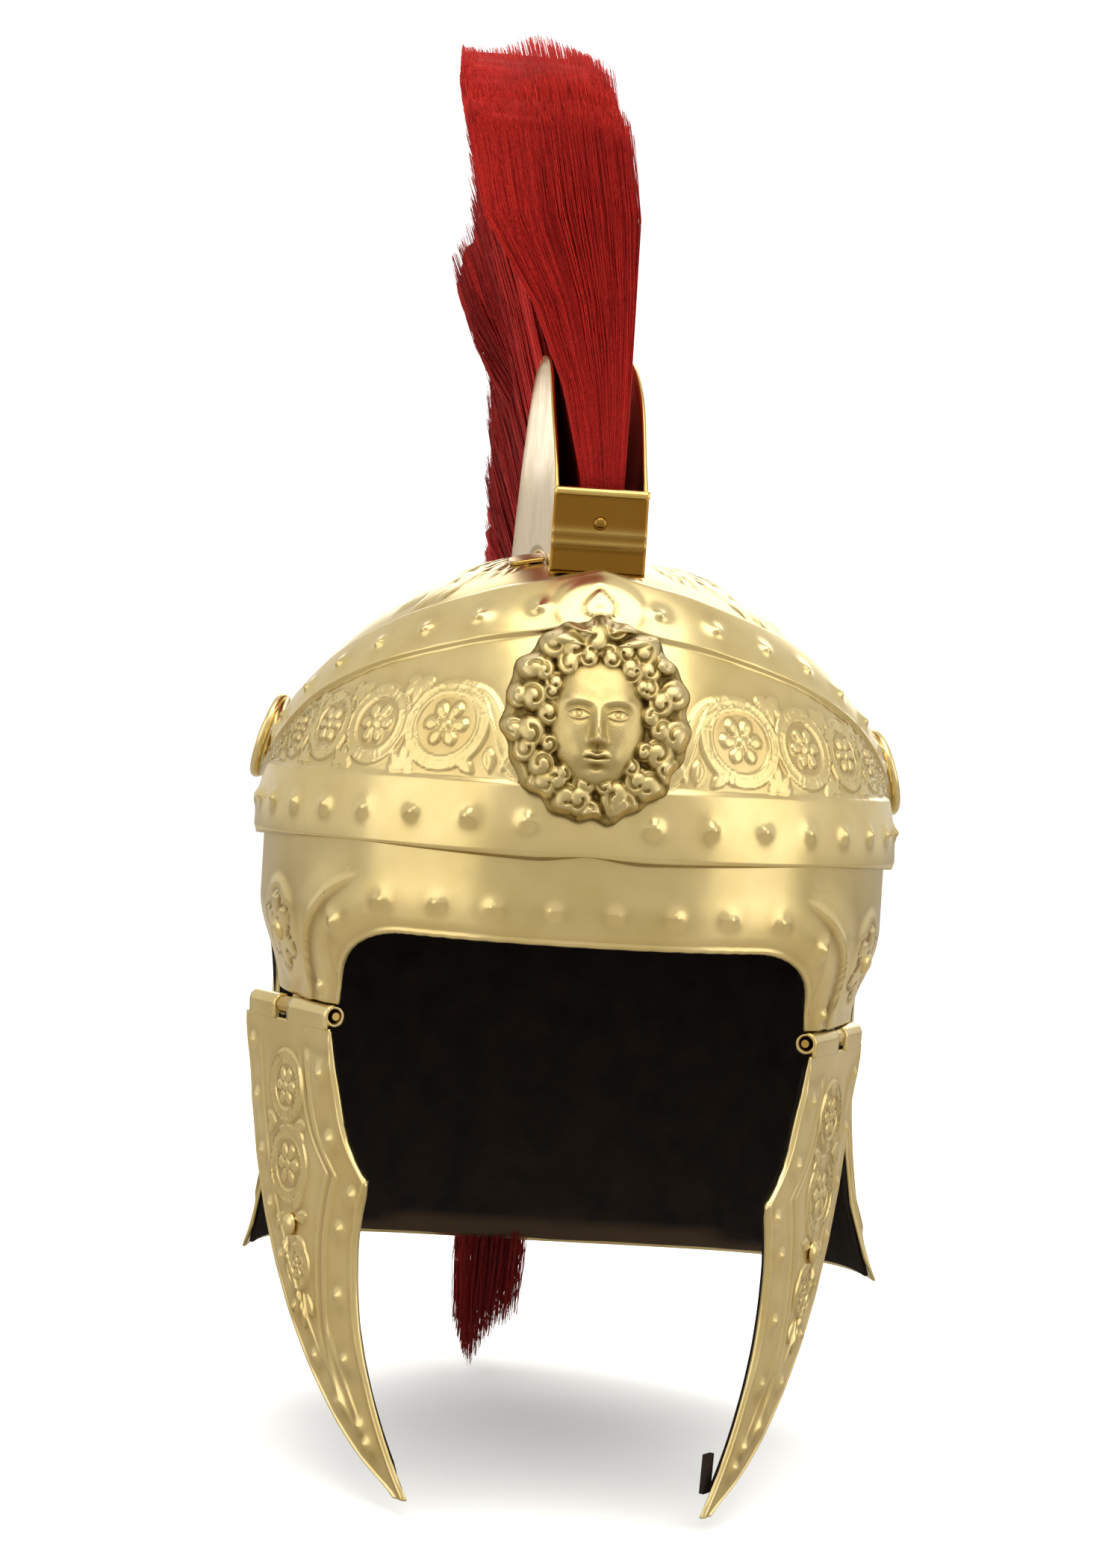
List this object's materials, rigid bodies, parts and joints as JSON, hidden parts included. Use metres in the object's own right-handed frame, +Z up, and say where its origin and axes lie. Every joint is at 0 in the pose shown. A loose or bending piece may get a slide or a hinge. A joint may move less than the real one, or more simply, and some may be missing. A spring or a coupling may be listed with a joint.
{
  "type": "parade helmet",
  "caption": "Brass parade helmet in the ancient Roman style, with an embossed brow band, cast face mask, hinged cheek guards, neck guard and a tall red horsehair crest.",
  "frame": {"origin": "middle of the wearer's head in the plane of the brow band's lower edge, which is where a head carries the helmet", "axes": "+Z up; the front faces -Y; +X is the wearer's left"},
  "size_m": [0.2203, 0.3086, 0.4724],
  "materials": {
    "polished_brass": "polished sheet, embossed",
    "antique_brass": "cast, darkened in its hollows",
    "lining_fabric": "matte woven cloth",
    "tie_leather": "thin dark leather",
    "red_horsehair": "dyed straight hair"
  },
  "bodies": {
    "helmet": {"skull_bowl": "polished_brass", "bowl_lining": "lining_fabric", "brow_band": "polished_brass", "face_mask": "antique_brass", "side_disc_r": "polished_brass", "side_disc_l": "polished_brass", "ear_stud_r": "polished_brass", "ear_stud_l": "polished_brass", "hinge_tongue_r": "polished_brass", "hinge_tongue_l": "polished_brass", "hinge_pin_r": "polished_brass", "hinge_pin_l": "polished_brass", "crest_box": "polished_brass", "crest_front": "polished_brass", "crest_rivet": "polished_brass", "crest_tab": "polished_brass", "plume": "red_horsehair"},
    "cheek_r": {"cheek_guard_r": "polished_brass", "cheek_lining_r": "lining_fabric", "cheek_stud_r": "polished_brass"},
    "cheek_l": {"cheek_guard_l": "polished_brass", "cheek_lining_l": "lining_fabric", "cheek_stud_l": "polished_brass", "tie_tab": "tie_leather"}
  },
  "joints": [
    {"name": "cheek_hinge_r", "type": "hinge", "parent": "helmet", "child": "cheek_r", "pos_m": [-0.09982, -0.0206, -0.0562], "axis": [-0.4838, 0.8752, 0], "range_deg": [-8, 75]},
    {"name": "cheek_hinge_l", "type": "hinge", "parent": "helmet", "child": "cheek_l", "pos_m": [0.09394, -0.01939, -0.0562], "axis": [-0.3882, -0.9216, 0], "range_deg": [-8, 75]}
  ]
}
